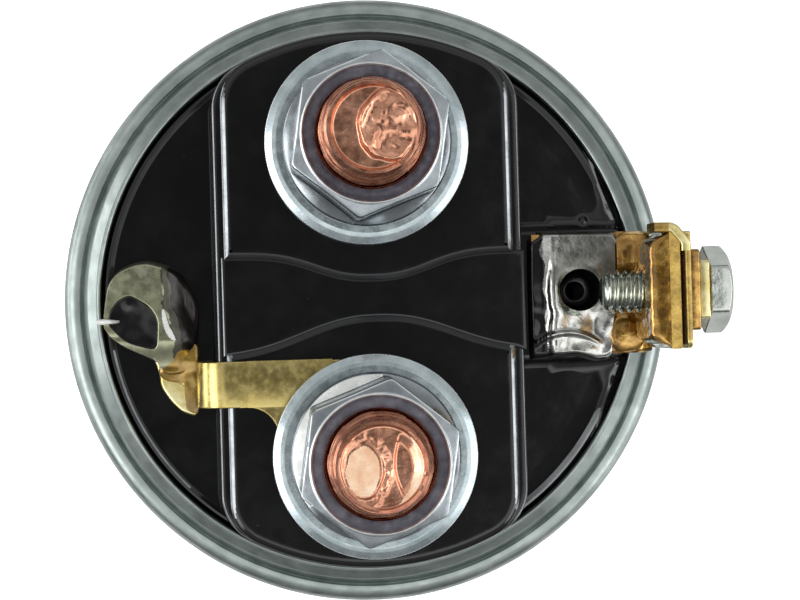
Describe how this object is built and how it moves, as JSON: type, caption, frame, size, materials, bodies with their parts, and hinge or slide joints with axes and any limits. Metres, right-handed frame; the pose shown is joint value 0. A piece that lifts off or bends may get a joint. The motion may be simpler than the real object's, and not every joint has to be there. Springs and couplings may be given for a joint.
{
  "type": "starter solenoid relay",
  "caption": "Round plunger solenoid with a rolled steel case, black terminal cap, copper contact studs, side switch terminal and a sprung pull rod with an eye.",
  "frame": {"origin": "centre of the front mounting face, on the plunger's axis", "axes": "+Z along the plunger's axis towards the terminals, +X towards the switch terminal, +Y towards the battery stud"},
  "size_m": [0.0657, 0.062, 0.13],
  "materials": {
    "case_zinc": "zinc plated, faint green-blue tint, fine scratches",
    "cap_black": "glossy black phenolic moulding",
    "rubber": "matt black",
    "copper": "bright turned copper, lumpy sheared tips",
    "bright_zinc": "bright blue zinc plate",
    "brass": "stamped brass, partly lacquered",
    "solder": "bright solder with flux stains",
    "iron": "soft iron, lightly oiled",
    "rod_steel": "phosphated steel",
    "spring_steel": "oiled spring wire",
    "winding": "enamelled copper wire",
    "paper": "varnished paper",
    "nylon": "natural nylon"
  },
  "bodies": {
    "housing": {"solenoid_case": "case_zinc", "terminal_cap": "cap_black", "cap_gasket": "rubber", "battery_stud": "copper", "motor_stud": "copper", "battery_washer": "bright_zinc", "motor_washer": "bright_zinc", "battery_nut": "bright_zinc", "motor_nut": "bright_zinc", "motor_strap": "brass", "strap_solder": "solder", "switch_bracket": "brass", "switch_solder": "solder", "switch_clamp_plate": "brass", "switch_square_washer": "brass", "switch_screw": "bright_zinc", "coil_bobbin": "nylon", "guide_tube": "brass", "pull_in_winding": "winding", "hold_in_winding": "winding", "winding_wrap": "paper", "pole_core": "iron", "switch_lead": "winding", "motor_lead": "winding", "return_spring": "spring_steel", "contact_return_spring": "spring_steel"},
    "plunger_set": {"plunger": "iron", "spring_seat": "bright_zinc", "plunger_ring": "iron", "plunger_plug": "iron", "meshing_spring": "spring_steel"},
    "pull_rod_set": {"pull_rod": "rod_steel"},
    "contact_rod_set": {"contact_rod": "rod_steel", "contact_clip": "rod_steel", "contact_spring": "spring_steel"},
    "contact_disc_set": {"contact_disc": "copper", "contact_bush": "nylon", "contact_insulator": "nylon"}
  },
  "joints": [
    {"name": "plunger_slide", "type": "slide", "parent": "housing", "child": "plunger_set", "axis": [0, 0, 1], "range_m": [0, 0.011], "stiffness_N_per_m": 1500, "springref_m": -0.01, "deforming": ["return_spring"]},
    {"name": "pull_rod_slide", "type": "slide", "parent": "plunger_set", "child": "pull_rod_set", "axis": [0, 0, -1], "range_m": [0, 0.008], "stiffness_N_per_m": 8000, "springref_m": -0.004, "deforming": ["meshing_spring"]},
    {"name": "contact_rod_slide", "type": "slide", "parent": "housing", "child": "contact_rod_set", "axis": [0, 0, 1], "range_m": [0, 0.00365], "deforming": ["contact_return_spring"]},
    {"name": "contact_disc_slide", "type": "slide", "parent": "contact_rod_set", "child": "contact_disc_set", "axis": [0, 0, 1], "range_m": [-0.001, 0], "deforming": ["contact_spring"]}
  ],
  "couplings": [
    {"joint": "contact_rod_slide", "follows": "plunger_slide", "ratio": 0.33},
    {"joint": "contact_disc_slide", "follows": "plunger_slide", "ratio": -0.09}
  ]
}
